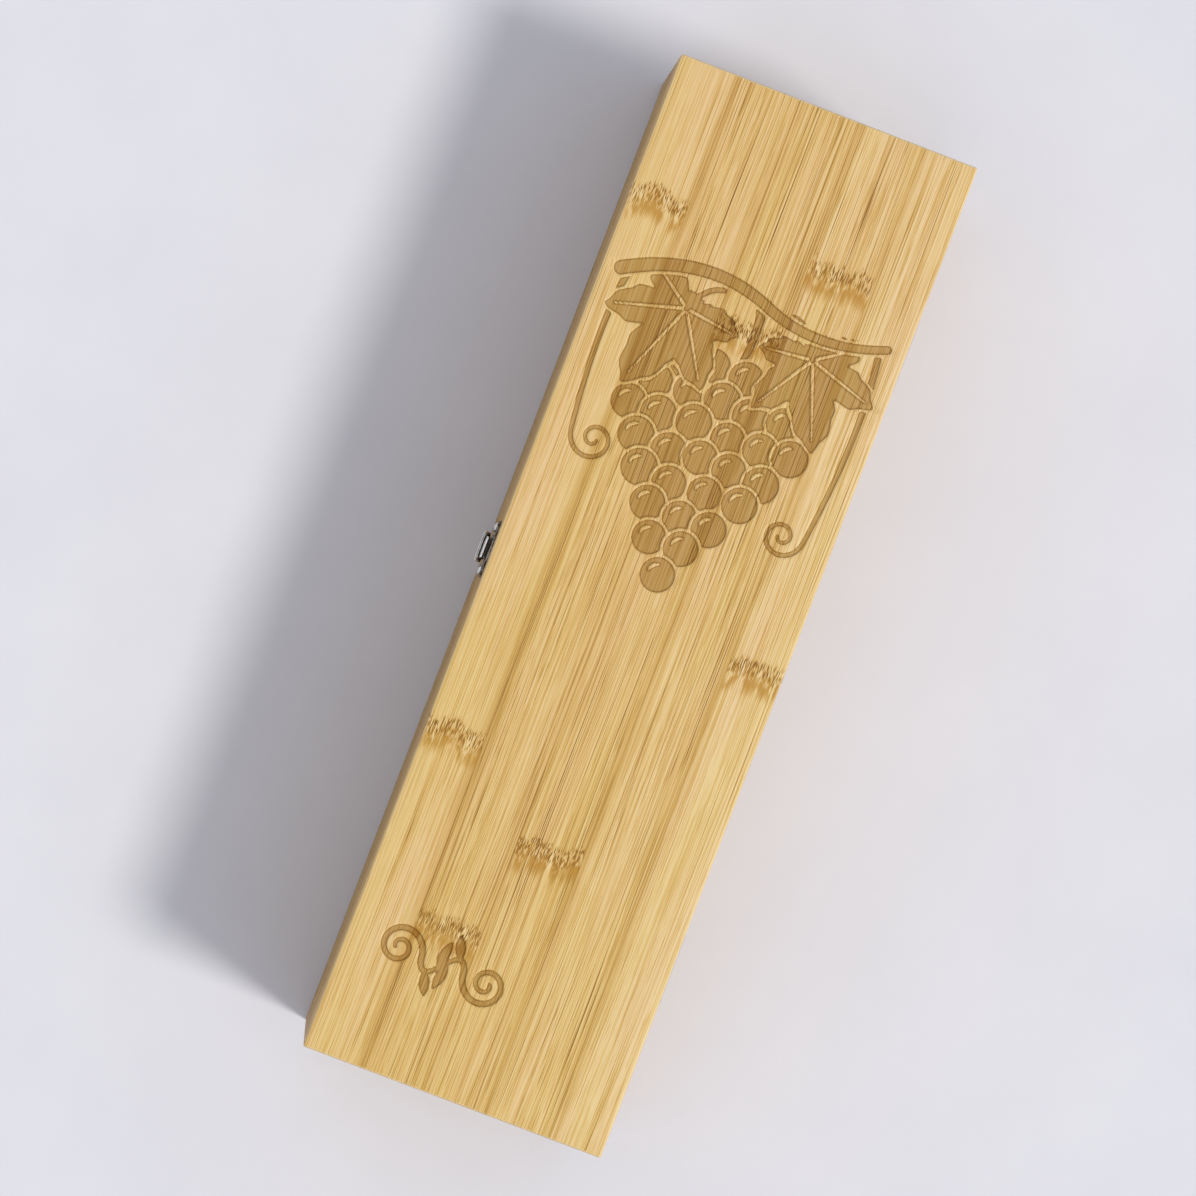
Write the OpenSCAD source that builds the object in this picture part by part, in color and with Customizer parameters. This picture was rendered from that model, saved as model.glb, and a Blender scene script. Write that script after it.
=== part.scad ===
// Hinged wine box for one 75 cl bottle.
//
// The box lies on its bottom with the lid on top. X runs along the bottle, from the neck end (-X)
// to the base end (+X). The clasp is on the front (-Y) and the hinges are on the rear (+Y).
// The origin is the centre of the underside, and every length is in millimetres.

/* [Box] */
// Length over the end walls
box_l = 350; // [330:5:400]
// Width over the front and rear walls
box_w = 105; // [101:1:125]
// Height of the lower box, from the table to the rim
body_h = 78; // [72:1:100]
// Height of the lid, from its rim to its top
lid_h = 24; // [22:1:40]
// Thickness of the walls and of the lid's rails
wall_t = 8; // [7.5:0.5:10]
// Thickness of the lid's top panel
lid_panel_t = 8; // [6:0.5:8]
// Thickness of the bottom panel
bottom_t = 6; // [4:0.5:8]
// Gap between the two rims when the lid is down
rim_gap = 0.3; // [0.2:0.1:0.6]

/* [Corner joints] */
// Fingers in each corner of the lower box
body_fingers = 9; // [5:2:13]
// Fingers in each corner of the lid
lid_fingers = 2; // [2:1:4]
// Radius of the sanded outer corners and of the lid's top edge
corner_r = 0.8; // [0.5:0.1:1.5]
// Radius that breaks the edges of the two rims
rim_r = 0.5; // [0.3:0.1:0.8]

/* [Bottle cradles] */
// Diameter of the bottle's body
bottle_d = 76; // [70:1:80]
// Diameter of the bottle's neck
neck_d = 29; // [27:1:32]
// Thickness of the two cradle boards
cradle_t = 10; // [8:1:14]
// Depth of the housings that the cradles slide into
housing_depth = 2; // [1:0.5:3]
// Wood left under the bottle
cradle_floor = 5; // [4:1:8]

/* [Hinges] */
// Distance of each hinge from the middle of the box
hinge_x = 110; // [90:5:125]
// Length of a hinge along its pin
hinge_l = 25; // [20:1:30]
// Diameter of the hinge barrel
barrel_d = 3.2; // [3:0.1:3.6]
// Diameter of the hinge pin
hinge_pin_d = 1.5; // [1.2:0.1:1.6]
// Thickness of a hinge leaf
leaf_t = 0.9; // [0.7:0.1:1]

/* [Clasp] */
// Width over the ears of the clasp's two plates
clasp_w = 20; // [19:0.5:22]
// Wire diameter of the loop
wire_d = 1.2; // [1:0.1:1.3]
// Length of the lever, from its pin to its tip
lever_l = 12.5; // [12:0.5:14]

/* [Hidden] */

$fn = 48;
// Overlap of pieces that are joined, and how far a cut runs past the face that it opens
eps = 0.01;
past = 1;

bamboo = "#dcb985";
bamboo_dark = "#c99f63";
bamboo_pale = "#e3c697";
nickel = "#c9c6c0";
nickel_dark = "#8f8c88";

// Heights of the frame
lid_z = body_h + rim_gap;
top_z = body_h + lid_h;
lid_rail_h = lid_h - rim_gap - lid_panel_t;
inner_w = box_w - 2 * wall_t;
front_y = -box_w / 2;
rear_y = box_w / 2;
arc_steps = 4;

// Bottle and cradles
bottle_gap = 0.5;
bottle_z = bottom_t + cradle_floor + bottle_d / 2 + bottle_gap;
body_cradle_x = 70;
neck_cradle_x = -108;
body_cradle_h = 30;
cradle_play = 0.1;

// Hinges
barrel_out = 0.6;
barrel_r = barrel_d / 2;
hinge_y = rear_y + barrel_out;
hinge_z = body_h + rim_gap / 2;
rim_land = 1;
leaf_in = wall_t - rim_land;
knuckles = 5;
knuckle_gap = 0.2;
barrel_play = 0.3;
pin_fit = 0.02;
pin_run = 0.07;
leaf_play = 0.1;
hinge_screw_x = 7.5;
hinge_screw_y = rear_y - 3.7;

// Screws
screw_d = 1.8;
screw_point = 1.6;
screw_tip_d = 0.3;
slot_l = 1.9;
slot_w = 0.45;
slot_depth = 0.5;
hinge_screw_l = 8;
countersunk_d = 3.6;
cone_h = (countersunk_d - screw_d) / 2;
clasp_screw_l = 6.5;
pan_d = 3.2;
pan_h = 1;
pan_dome_r = 2.4;
hole_play = 0.05;

// Clasp: distances out from the front wall, and heights above the middle of the gap between the rims
clasp_z = hinge_z;
plate_t = 0.7;
plate_half_w = 5.6;
ear_r = 2.3;
ear_x = clasp_w / 2 - ear_r;

base_low = -18.6;
base_high = -3;
base_ear_h = -6;
base_tail_h = -15.8;
base_corner_r = 2.6;
pivot_out = 2.2;
pivot_h = -7;
pivot_pin_d = 1.2;
cheek_x = 2.75;
cheek_t = 0.55;
cheek_foot = 1.85;
eye_r = 1.25;
eye_play = 0.35;
tail_r = 1.15;
flange_x = 3.4;
flange_t = 0.55;
flange_inset = 0.05;
flange_drop = 3.2;
lever_t = 0.6;
lever_tip_r = 3.2;
lip_h = 3.2;
lip_bend_r = 3;
lip_angle = 15;
wire_pivot_out = 2.1;
wire_pivot_h = -10.7;
wire_end_in = 0.05;

keeper_low = 2;
keeper_high = 12.5;
keeper_ear_h = 8.6;
keeper_corner_r = 1.6;
hook_half_w = 3.6;
hook_t = 0.6;
hook_out = 2.7;
hook_bend_r = 1.1;
hook_tip_h = 5.2;

// The loop is as long as the way from its axis in the lever to its seat behind the hook. At rest it
// stands unlatched, with its crossbar just in front of the hook.
wire_r = wire_d / 2;
wire_clear = 0.25;
seat_out = (plate_t + hook_out - hook_t) / 2;
seat_h = keeper_low + hook_t + wire_r;
loop_l = norm([seat_out - wire_pivot_out, seat_h - wire_pivot_h]);
loop_x = 4.8;
loop_bend_r = 0.85;
crossbar_out = hook_out + wire_clear + wire_r;
loop_lean = asin((crossbar_out - wire_pivot_out) / loop_l);

// ---------------------------------------------------------------- outlines

// Quarter circle from angle a, as points.
function arc(cx, cy, r, a) =
  [for (i = [0:arc_steps]) [cx + r * cos(a + 90 * i / arc_steps), cy + r * sin(a + 90 * i / arc_steps)]];

// Rectangle from y = 0 to h, centred on x, with its own radius for the top and the bottom corners.
function eased_rect(w, h, r_top, r_bottom) =
  concat(
    arc(w / 2 - r_top, h - r_top, r_top, 0),
    arc(-w / 2 + r_top, h - r_top, r_top, 90),
    arc(-w / 2 + r_bottom, r_bottom, r_bottom, 180),
    arc(w / 2 - r_bottom, r_bottom, r_bottom, 270)
  );

function unit(v) = v / norm(v);

// Normal to the left of a path at its point i.
function path_normal(path, i) =
  let (
    before = path[max(i - 1, 0)],
    after = path[min(i + 1, len(path) - 1)],
    d = unit(after - before)
  ) [-d[1], d[0]];

// Closed outline of a bent sheet of thickness t whose right-hand face follows the path.
function sheet_outline(path, t) =
  concat(path, [for (i = [len(path) - 1:-1:0]) path[i] + t * path_normal(path, i)]);

// Points of an arc of radius r about c, from angle a0 to a1.
function bend(c, r, a0, a1, steps = 6) =
  [for (i = [0:steps]) c + r * [cos(a0 + (a1 - a0) * i / steps), sin(a0 + (a1 - a0) * i / steps)]];

// ---------------------------------------------------------------- woodwork

// Block on z = 0 whose upright corners and top and bottom edges each have a radius.
module eased_block(l, w, h, r_side, r_top, r_bottom) {
  intersection() {
    translate([0, -w / 2, 0])
      linear_extrude(h) polygon(eased_rect(l, w, r_side, r_side));
    translate([-l / 2, 0, 0])
      rotate([90, 0, 90]) linear_extrude(l) polygon(eased_rect(w, h, r_top, r_bottom));
    translate([0, w / 2, 0])
      rotate([90, 0, 0]) linear_extrude(w) polygon(eased_rect(l, h, r_top, r_bottom));
  }
}

// Outside of the lower box's walls, and of the lid's rails.
module body_envelope() {
  translate([0, 0, bottom_t])
    eased_block(box_l, box_w, body_h - bottom_t, corner_r, rim_r, eps);
}

module lid_envelope() {
  translate([0, 0, lid_z])
    eased_block(box_l, box_w, lid_rail_h, corner_r, eps, rim_r);
}

// Sockets for the other board's fingers, at the four corners. Fingers count up from z0, and a
// board keeps the ones where (index + offset) is even. The lid's carry on from the lower box's.
module finger_sockets(z0, h, count, offset) {
  pitch = h / count;
  for (i = [0:count - 1], sx = [-1, 1], sy = [-1, 1])
    if ((i + offset) % 2 == 1)
      translate([sx * (box_l - wall_t) / 2, sy * (box_w - wall_t) / 2, z0 + (i + 0.5) * pitch])
        cube([wall_t + eps * 2, wall_t + eps * 2, pitch], center = true);
}

// A wall that runs along X, and one that runs along Y. The side is -1 or 1.
module long_slab(side, z0, h) {
  translate([-box_l / 2, side * (box_w - wall_t) / 2 - wall_t / 2, z0])
    cube([box_l, wall_t, h]);
}

module end_slab(side, z0, h) {
  translate([side * (box_l - wall_t) / 2 - wall_t / 2, front_y, z0])
    cube([wall_t, box_w, h]);
}

module body_long_wall(side) {
  h = body_h - bottom_t;
  difference() {
    intersection() {
      body_envelope();
      long_slab(side, bottom_t, h);
    }
    finger_sockets(bottom_t, h, body_fingers, 0);
    for (x = [neck_cradle_x, body_cradle_x])
      cradle_housing(x, side);
  }
}

module body_end_wall(side) {
  h = body_h - bottom_t;
  difference() {
    intersection() {
      body_envelope();
      end_slab(side, bottom_t, h);
    }
    finger_sockets(bottom_t, h, body_fingers, 1);
  }
}

module lid_long_rail(side) {
  difference() {
    intersection() {
      lid_envelope();
      long_slab(side, lid_z, lid_rail_h);
    }
    finger_sockets(lid_z, lid_rail_h, lid_fingers, body_fingers);
  }
}

module lid_end_rail(side) {
  difference() {
    intersection() {
      lid_envelope();
      end_slab(side, lid_z, lid_rail_h);
    }
    finger_sockets(lid_z, lid_rail_h, lid_fingers, body_fingers + 1);
  }
}

// Upright groove in a long wall's inner face, for the end of a cradle.
module cradle_housing(x, side) {
  translate([x - cradle_t / 2 - cradle_play, side * inner_w / 2 - housing_depth, bottom_t - eps])
    cube([cradle_t + 2 * cradle_play, 2 * housing_depth, body_h]);
}

// Cradle board across the box, with a round notch for the bottle.
module cradle(x, h, notch_r) {
  w = inner_w + 2 * housing_depth - 2 * cradle_play;
  translate([x, 0, bottom_t])
    difference() {
      translate([-cradle_t / 2, -w / 2, 0])
        cube([cradle_t, w, h]);
      translate([0, 0, bottle_z - bottom_t])
        rotate([0, 90, 0])
          cylinder(r = notch_r, h = cradle_t + 2 * past, center = true);
    }
}

module bottom_panel() {
  color(bamboo_dark)
    eased_block(box_l, box_w, bottom_t, corner_r, eps, rim_r);
}

module front_wall() {
  color(bamboo)
    difference() {
      body_long_wall(-1);
      clasp_screw_holes(clasp_base_screw_places());
    }
}

module rear_wall() {
  color(bamboo)
    difference() {
      body_long_wall(1);
      for (x = [-hinge_x, hinge_x])
        hinge_mortise(x, -1);
    }
}

module neck_end_wall() {
  color(bamboo_pale) body_end_wall(-1);
}

module base_end_wall() {
  color(bamboo_pale) body_end_wall(1);
}

module neck_cradle() {
  color(bamboo_pale)
    cradle(neck_cradle_x, bottle_z - bottom_t, neck_d / 2 + bottle_gap);
}

module body_cradle() {
  color(bamboo_pale)
    cradle(body_cradle_x, body_cradle_h, bottle_d / 2 + bottle_gap);
}

module lid_panel() {
  color(bamboo)
    translate([0, 0, top_z - lid_panel_t])
      eased_block(box_l, box_w, lid_panel_t, corner_r, corner_r, eps);
}

module lid_front_rail() {
  color(bamboo)
    difference() {
      lid_long_rail(-1);
      clasp_screw_holes(clasp_keeper_screw_places());
    }
}

module lid_rear_rail() {
  color(bamboo)
    difference() {
      lid_long_rail(1);
      for (x = [-hinge_x, hinge_x])
        hinge_mortise(x, 1);
    }
}

module lid_neck_end_rail() {
  color(bamboo_pale) lid_end_rail(-1);
}

module lid_base_end_rail() {
  color(bamboo_pale) lid_end_rail(1);
}

// ---------------------------------------------------------------- hinges

// Recess for a leaf in a rim, with a trough for the barrel and pilot holes for the screws.
// The side is -1 for the lower box and 1 for the lid.
module hinge_mortise(x, side) {
  depth = leaf_t + rim_gap / 2;
  translate([x, hinge_y, hinge_z]) {
    translate([-hinge_l / 2 - leaf_play, -barrel_out - leaf_in - leaf_play, side > 0 ? 0 : -depth])
      cube([hinge_l + 2 * leaf_play, leaf_in + barrel_out + leaf_play, depth]);
    rotate([0, 90, 0])
      cylinder(r = barrel_r + barrel_play, h = hinge_l + 2 * barrel_play, center = true);
  }
  for (sx = [-1, 1])
    translate([x + sx * hinge_screw_x, hinge_screw_y, hinge_z])
      mirror([0, 0, side > 0 ? 1 : 0])
        translate([0, 0, -hinge_screw_l - past])
          cylinder(d = screw_d + 2 * hole_play, h = hinge_screw_l + past);
}

// One knuckle of the barrel along X, from x0 to x1.
module knuckle(x0, x1, bore_r) {
  translate([x0, 0, 0])
    rotate([0, 90, 0])
      difference() {
        cylinder(r = barrel_r, h = x1 - x0);
        translate([0, 0, -past])
          cylinder(r = bore_r, h = x1 - x0 + 2 * past);
      }
}

// Leaf with its share of the knuckles. The box's leaf (side -1) has the odd ones and holds the
// pin, and the lid's leaf (side 1) turns on it.
module hinge_leaf(x, side) {
  pitch = hinge_l / knuckles;
  first = side < 0 ? 0 : 1;
  bore_r = hinge_pin_d / 2 + (side < 0 ? pin_fit : pin_run);
  translate([x, hinge_y, hinge_z]) {
    difference() {
      translate([-hinge_l / 2, -barrel_out - leaf_in, side < 0 ? -rim_gap / 2 - leaf_t : rim_gap / 2])
        cube([hinge_l, leaf_in + barrel_out, leaf_t]);
      rotate([0, 90, 0])
        cylinder(r = hinge_pin_d / 2 + pin_run, h = hinge_l + 2 * past, center = true);
      for (i = [0:knuckles - 1])
        if (i % 2 != first)
          translate([-hinge_l / 2 + (i + 0.5) * pitch, 0, 0])
            rotate([0, 90, 0])
              cylinder(r = barrel_r + barrel_play, h = pitch + knuckle_gap, center = true);
      for (sx = [-1, 1])
        translate([sx * hinge_screw_x, hinge_screw_y - hinge_y, side * rim_gap / 2])
          mirror([0, 0, side > 0 ? 1 : 0])
            countersink();
    }
    for (i = [first:2:knuckles - 1])
      knuckle(
        -hinge_l / 2 + i * pitch + (i == 0 ? 0 : knuckle_gap / 2),
        -hinge_l / 2 + (i + 1) * pitch - (i == knuckles - 1 ? 0 : knuckle_gap / 2),
        bore_r
      );
  }
}

// Hole and cone for a countersunk screw whose head is flush with z = 0.
module countersink() {
  translate([0, 0, -leaf_t - past])
    cylinder(d = screw_d + 2 * hole_play, h = leaf_t + past + eps);
  translate([0, 0, -cone_h])
    cylinder(d1 = screw_d + 2 * hole_play, d2 = countersunk_d + 2 * hole_play, h = cone_h);
  cylinder(d = countersunk_d + 2 * hole_play, h = past);
}

// Cross recess of a screw head, cut down from z = 0.
module cross_slot() {
  for (a = [0, 90])
    rotate([0, 0, a])
      cube([slot_l, slot_w, 2 * slot_depth], center = true);
}

// Shank with its point at z = -l, up to z = top.
module screw_shank(l, top) {
  translate([0, 0, -l + screw_point])
    cylinder(d = screw_d, h = l - screw_point + top);
  translate([0, 0, -l])
    cylinder(d1 = screw_tip_d, d2 = screw_d, h = screw_point);
}

module countersunk_screw(l) {
  difference() {
    union() {
      translate([0, 0, -cone_h])
        cylinder(d1 = screw_d, d2 = countersunk_d, h = cone_h);
      screw_shank(l, eps - cone_h);
    }
    cross_slot();
  }
}

module hinge_screws(side) {
  for (x = [-hinge_x, hinge_x], sx = [-1, 1])
    translate([x + sx * hinge_screw_x, hinge_screw_y, hinge_z + side * rim_gap / 2])
      mirror([0, 0, side > 0 ? 1 : 0])
        countersunk_screw(hinge_screw_l);
}

module hinge_pin(x) {
  translate([x, hinge_y, hinge_z])
    rotate([0, 90, 0])
      cylinder(d = hinge_pin_d, h = hinge_l, center = true);
}

module neck_hinge_box_leaf() {
  color(nickel) hinge_leaf(-hinge_x, -1);
}

module neck_hinge_lid_leaf() {
  color(nickel) hinge_leaf(-hinge_x, 1);
}

module neck_hinge_pin() {
  color(nickel_dark) hinge_pin(-hinge_x);
}

module base_hinge_box_leaf() {
  color(nickel) hinge_leaf(hinge_x, -1);
}

module base_hinge_lid_leaf() {
  color(nickel) hinge_leaf(hinge_x, 1);
}

module base_hinge_pin() {
  color(nickel_dark) hinge_pin(hinge_x);
}

module hinge_box_screws() {
  color(nickel_dark) hinge_screws(-1);
}

module hinge_lid_screws() {
  color(nickel_dark) hinge_screws(1);
}

// ---------------------------------------------------------------- clasp

// The clasp's own frame: x along the box, y out from the front wall, z above the rims' gap.
module on_front() {
  translate([0, front_y, clasp_z])
    mirror([0, 1, 0]) children();
}

// Solid that is its side outline (out, up) swept along x from -half_w to half_w.
module across(half_w) {
  translate([-half_w, 0, 0])
    rotate([90, 0, 90])
      linear_extrude(2 * half_w) children();
}

// Cylinder along the outward direction, from out0 to out1.
module outward(x, h, r, out0, out1) {
  translate([x, out0, h])
    rotate([-90, 0, 0])
      cylinder(r = r, h = out1 - out0);
}

// Cylinder along x, from x0 to x1, about a point given as (out, up).
module axle(p, r, x0, x1) {
  translate([x0, p[0], p[1]])
    rotate([0, 90, 0])
      cylinder(r = r, h = x1 - x0);
}

function clasp_base_screw_places() = [[-ear_x, base_ear_h], [ear_x, base_ear_h], [0, base_tail_h]];
function clasp_keeper_screw_places() = [[-ear_x, keeper_ear_h], [ear_x, keeper_ear_h]];

// Pilot holes in the wood behind a clasp plate.
module clasp_screw_holes(places) {
  on_front()
    for (p = places)
      outward(p[0], p[1], screw_d / 2 + hole_play, -clasp_screw_l, past);
}

// Screw with a low domed head whose underside is at z = 0.
module pan_screw(l) {
  difference() {
    union() {
      intersection() {
        cylinder(d = pan_d, h = pan_h);
        translate([0, 0, pan_h - pan_dome_r])
          sphere(r = pan_dome_r);
      }
      screw_shank(l, eps);
    }
    translate([0, 0, pan_h]) cross_slot();
  }
}

module pan_screws(places) {
  on_front()
    for (p = places)
      translate([p[0], plate_t, p[1]])
        rotate([-90, 0, 0]) pan_screw(clasp_screw_l);
}

// Sheet of the plates' thickness on the wall, from its outline (along, up).
module on_wall() {
  translate([0, plate_t, 0])
    rotate([90, 0, 0])
      linear_extrude(plate_t) children();
}

module rounded_rect(half_w, low, high, r) {
  translate([-half_w + r, low]) square([2 * (half_w - r), high - low]);
  translate([-half_w, low + r]) square([2 * half_w, high - low - 2 * r]);
  for (x = [-half_w + r, half_w - r], y = [low + r, high - r])
    translate([x, y]) circle(r = r);
}

// Outline of a plate: a centre strip from low to high with a round ear on each side, and its holes.
module eared_outline(low, high, corner, ear_h, holes) {
  difference() {
    union() {
      rounded_rect(plate_half_w, low, high, corner);
      translate([-ear_x, ear_h - ear_r]) square([2 * ear_x, 2 * ear_r]);
      for (x = [-ear_x, ear_x])
        translate([x, ear_h]) circle(r = ear_r);
    }
    for (p = holes)
      translate(p) circle(r = screw_d / 2 + hole_play);
  }
}

module clasp_base() {
  pivot = [pivot_out, pivot_h];
  color(nickel)
    on_front() {
      on_wall()
        eared_outline(base_low, base_high, base_corner_r, base_ear_h, clasp_base_screw_places());
      difference() {
        for (x0 = [-cheek_x - cheek_t, cheek_x]) {
          axle(pivot, eye_r, x0, x0 + cheek_t);
          translate([x0, plate_t, pivot_h - cheek_foot])
            cube([cheek_t, pivot_out - plate_t, cheek_foot + eye_r]);
        }
        axle(pivot, pivot_pin_d / 2 + pin_fit, -plate_half_w, plate_half_w);
      }
    }
}

module clasp_base_screws() {
  color(nickel) pan_screws(clasp_base_screw_places());
}

module clasp_lever_pin() {
  reach = flange_x + flange_t;
  color(nickel_dark)
    on_front()
      axle([pivot_out, pivot_h], pivot_pin_d / 2, -reach, reach);
}

// Cover of the lever, seen from the side: down from the pivot, then out to the finger lip.
function lever_path() =
  let (
    face = pivot_out + eye_r - lever_t,
    low = pivot_h - lever_l,
    start = low + lip_h,
    turned = bend([face + lip_bend_r, start], lip_bend_r, 180, 180 + lip_angle),
    last = turned[len(turned) - 1]
  ) concat(
    [[face, pivot_h]],
    turned,
    [[last[0] + (last[1] - low) * tan(lip_angle), low]]
  );

// Side of the lever: round about its pin and about the wire, and joined to the cover between them.
module lever_flange(x0) {
  inside_cover = pivot_out + eye_r - lever_t / 2;
  axle([pivot_out, pivot_h], eye_r, x0, x0 + flange_t);
  axle([wire_pivot_out, wire_pivot_h], tail_r, x0, x0 + flange_t);
  translate([x0, 0, 0])
    rotate([90, 0, 90])
      linear_extrude(flange_t)
        polygon([
          [pivot_out - eye_r + flange_inset, pivot_h],
          [inside_cover, pivot_h],
          [inside_cover, wire_pivot_h - flange_drop],
          [wire_pivot_out - tail_r, wire_pivot_h]
        ]);
}

// Block with the lever's outline as seen from the front, round at the tip's corners.
module lever_front_block(half_w) {
  low = pivot_h - lever_l;
  out0 = -past;
  out1 = lever_l;
  translate([-half_w, out0, low + lever_tip_r])
    cube([2 * half_w, out1 - out0, lever_l]);
  translate([-half_w + lever_tip_r, out0, low - past])
    cube([2 * (half_w - lever_tip_r), out1 - out0, lever_l]);
  for (sx = [-1, 1])
    outward(sx * (half_w - lever_tip_r), low + lever_tip_r, lever_tip_r, out0, out1);
}

module clasp_lever() {
  eye = [pivot_out, pivot_h];
  tail = [wire_pivot_out, wire_pivot_h];
  half_w = flange_x + flange_t;
  color(nickel)
    on_front()
      difference() {
        union() {
          intersection() {
            across(half_w) polygon(sheet_outline(lever_path(), lever_t));
            lever_front_block(half_w);
          }
          for (x0 = [-half_w, flange_x])
            lever_flange(x0);
        }
        axle(eye, pivot_pin_d / 2 + hole_play, -plate_half_w, plate_half_w);
        axle(tail, wire_r + hole_play, -plate_half_w, plate_half_w);
        axle(eye, eye_r + eye_play, -flange_x, flange_x);
      }
}

// Right half of the wire loop, upright, with the axis of its ends at the origin.
module half_loop() {
  end_x = flange_x - wire_end_in;
  bend_x = loop_x - loop_bend_r;
  translate([end_x, 0, 0])
    rotate([0, 90, 0])
      cylinder(r = wire_r, h = bend_x - end_x);
  translate([bend_x, 0, loop_bend_r])
    rotate([90, 0, 0])
      rotate([0, 0, -90])
        rotate_extrude(angle = 90)
          translate([loop_bend_r, 0]) circle(r = wire_r);
  translate([loop_x, 0, loop_bend_r])
    cylinder(r = wire_r, h = loop_l - 2 * loop_bend_r);
  translate([bend_x, 0, loop_l - loop_bend_r])
    rotate([90, 0, 0])
      rotate_extrude(angle = 90)
        translate([loop_bend_r, 0]) circle(r = wire_r);
}

module clasp_loop() {
  bend_x = loop_x - loop_bend_r;
  color(nickel)
    on_front()
      translate([0, wire_pivot_out, wire_pivot_h])
        rotate([-loop_lean, 0, 0]) {
          half_loop();
          mirror([1, 0, 0]) half_loop();
          translate([-bend_x, 0, loop_l])
            rotate([0, 90, 0])
              cylinder(r = wire_r, h = 2 * bend_x);
        }
}

// Hook of the keeper, seen from the side: out along its foot, then up to the tip.
function hook_path() =
  concat(
    [[0, keeper_low]],
    bend([hook_out - hook_bend_r, keeper_low + hook_bend_r], hook_bend_r, 270, 360),
    [[hook_out, hook_tip_h]]
  );

module clasp_keeper() {
  color(nickel)
    on_front() {
      on_wall()
        eared_outline(keeper_low, keeper_high, keeper_corner_r, keeper_ear_h, clasp_keeper_screw_places());
      across(hook_half_w) polygon(sheet_outline(hook_path(), hook_t));
    }
}

module clasp_keeper_screws() {
  color(nickel) pan_screws(clasp_keeper_screw_places());
}

// ---------------------------------------------------------------- assembly

bottom_panel();
front_wall();
rear_wall();
neck_end_wall();
base_end_wall();
neck_cradle();
body_cradle();
lid_panel();
lid_front_rail();
lid_rear_rail();
lid_neck_end_rail();
lid_base_end_rail();
neck_hinge_box_leaf();
neck_hinge_lid_leaf();
neck_hinge_pin();
base_hinge_box_leaf();
base_hinge_lid_leaf();
base_hinge_pin();
hinge_box_screws();
hinge_lid_screws();
clasp_base();
clasp_base_screws();
clasp_lever_pin();
clasp_lever();
clasp_loop();
clasp_keeper();
clasp_keeper_screws();
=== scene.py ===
# %% [markdown]
# # A long bamboo wine box, dressed in Blender
#
# The box is a tray of finger-jointed bamboo boards under a flat lid, with two nickel-plated
# hinges behind and a toggle clasp in front. Its solids arrive ready made, each in its own
# place, and this lesson gives them their finish: laminated bamboo with its fibres, strips and
# knuckles, plated steel, drawn wire pins, and a lid with a burnt, sunken ornament. Everything
# is in metres, +X runs along the bottle to its base and -Y is the front.

# %% Load the solids
import math
from types import SimpleNamespace

import bpy
import numpy as np
from mathutils import Matrix, Vector


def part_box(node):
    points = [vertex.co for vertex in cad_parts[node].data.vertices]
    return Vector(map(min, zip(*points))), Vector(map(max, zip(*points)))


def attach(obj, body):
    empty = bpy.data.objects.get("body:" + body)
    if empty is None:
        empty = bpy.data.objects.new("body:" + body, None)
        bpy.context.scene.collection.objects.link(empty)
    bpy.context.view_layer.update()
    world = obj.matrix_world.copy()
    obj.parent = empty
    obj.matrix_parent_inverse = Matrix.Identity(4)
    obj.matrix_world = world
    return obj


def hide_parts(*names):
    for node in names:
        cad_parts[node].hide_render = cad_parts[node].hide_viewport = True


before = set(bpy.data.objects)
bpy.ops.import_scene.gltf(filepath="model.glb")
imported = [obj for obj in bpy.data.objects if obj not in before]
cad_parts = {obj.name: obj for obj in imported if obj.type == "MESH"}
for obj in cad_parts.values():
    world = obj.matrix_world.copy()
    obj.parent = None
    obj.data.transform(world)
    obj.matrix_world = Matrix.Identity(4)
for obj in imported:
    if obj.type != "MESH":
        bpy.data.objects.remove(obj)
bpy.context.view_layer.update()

# %% [markdown]
# ## The camera
#
# The box lies on a table and is seen from almost straight above, from a little way in front
# of the clasp, with its neck end at the top and leaning to the right. A long lens keeps the
# far end as wide as the near one. A camera looks along its own -Z with its +Y up, so three
# crossed directions make its matrix. That says exactly where it stands, while a Track To
# constraint would leave the lean of the view to be worked out by hand.

# %% Camera


def looking(place, target, up):
    """The matrix at place whose -Z points at target and whose Y is as near up as it can be."""
    back = (Vector(place) - Vector(target)).normalized()
    side = Vector(up).cross(back).normalized()
    turned = Matrix((side, back.cross(side), back)).transposed().to_4x4()
    return Matrix.Translation(place) @ turned


camera = bpy.data.objects.new("camera", bpy.data.cameras.new("camera"))
bpy.context.scene.collection.objects.link(camera)
camera.data.lens = 158.8
camera.data.sensor_width = 36.0
camera.data.clip_start = 0.01
camera.matrix_world = looking((0.0219, -0.095, 1.839), (0.0026, -0.0143, 0.102), (-0.934, -0.357, 0.0))
bpy.context.scene.camera = camera
print("camera", round(camera.location.z, 3), "m above the table, field of view",
      round(math.degrees(camera.data.angle), 1), "degrees")

# %% [markdown]
# ## Light and table
#
# One soft, high light stands behind the box, so that its shadow falls forward over the table
# and past the clasp, and an even pale surround fills that shadow to two fifths of the open
# table. A sun lamp gives that shadow the same edge all along a long box, where an area lamp
# would need to be huge. Its angle sets how wide the soft edge is. The surround lights mostly
# from overhead, like a ceiling, so the box's sides are darker than its lid, and where it is
# seen itself, by the camera or in a reflection, it is the pale grey of the table.

# %% Light
toward_light = Vector((0.101, 0.569, 0.816))
sun = bpy.data.objects.new("soft_sun", bpy.data.lights.new("soft_sun", "SUN"))
bpy.context.scene.collection.objects.link(sun)
sun.data.energy = 1.77
sun.data.angle = math.radians(12.0)
sun.data.color = (1.0, 0.980, 0.930)
sun.matrix_world = looking(toward_light * 3.0, (0, 0, 0), (0, 0, 1))

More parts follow.
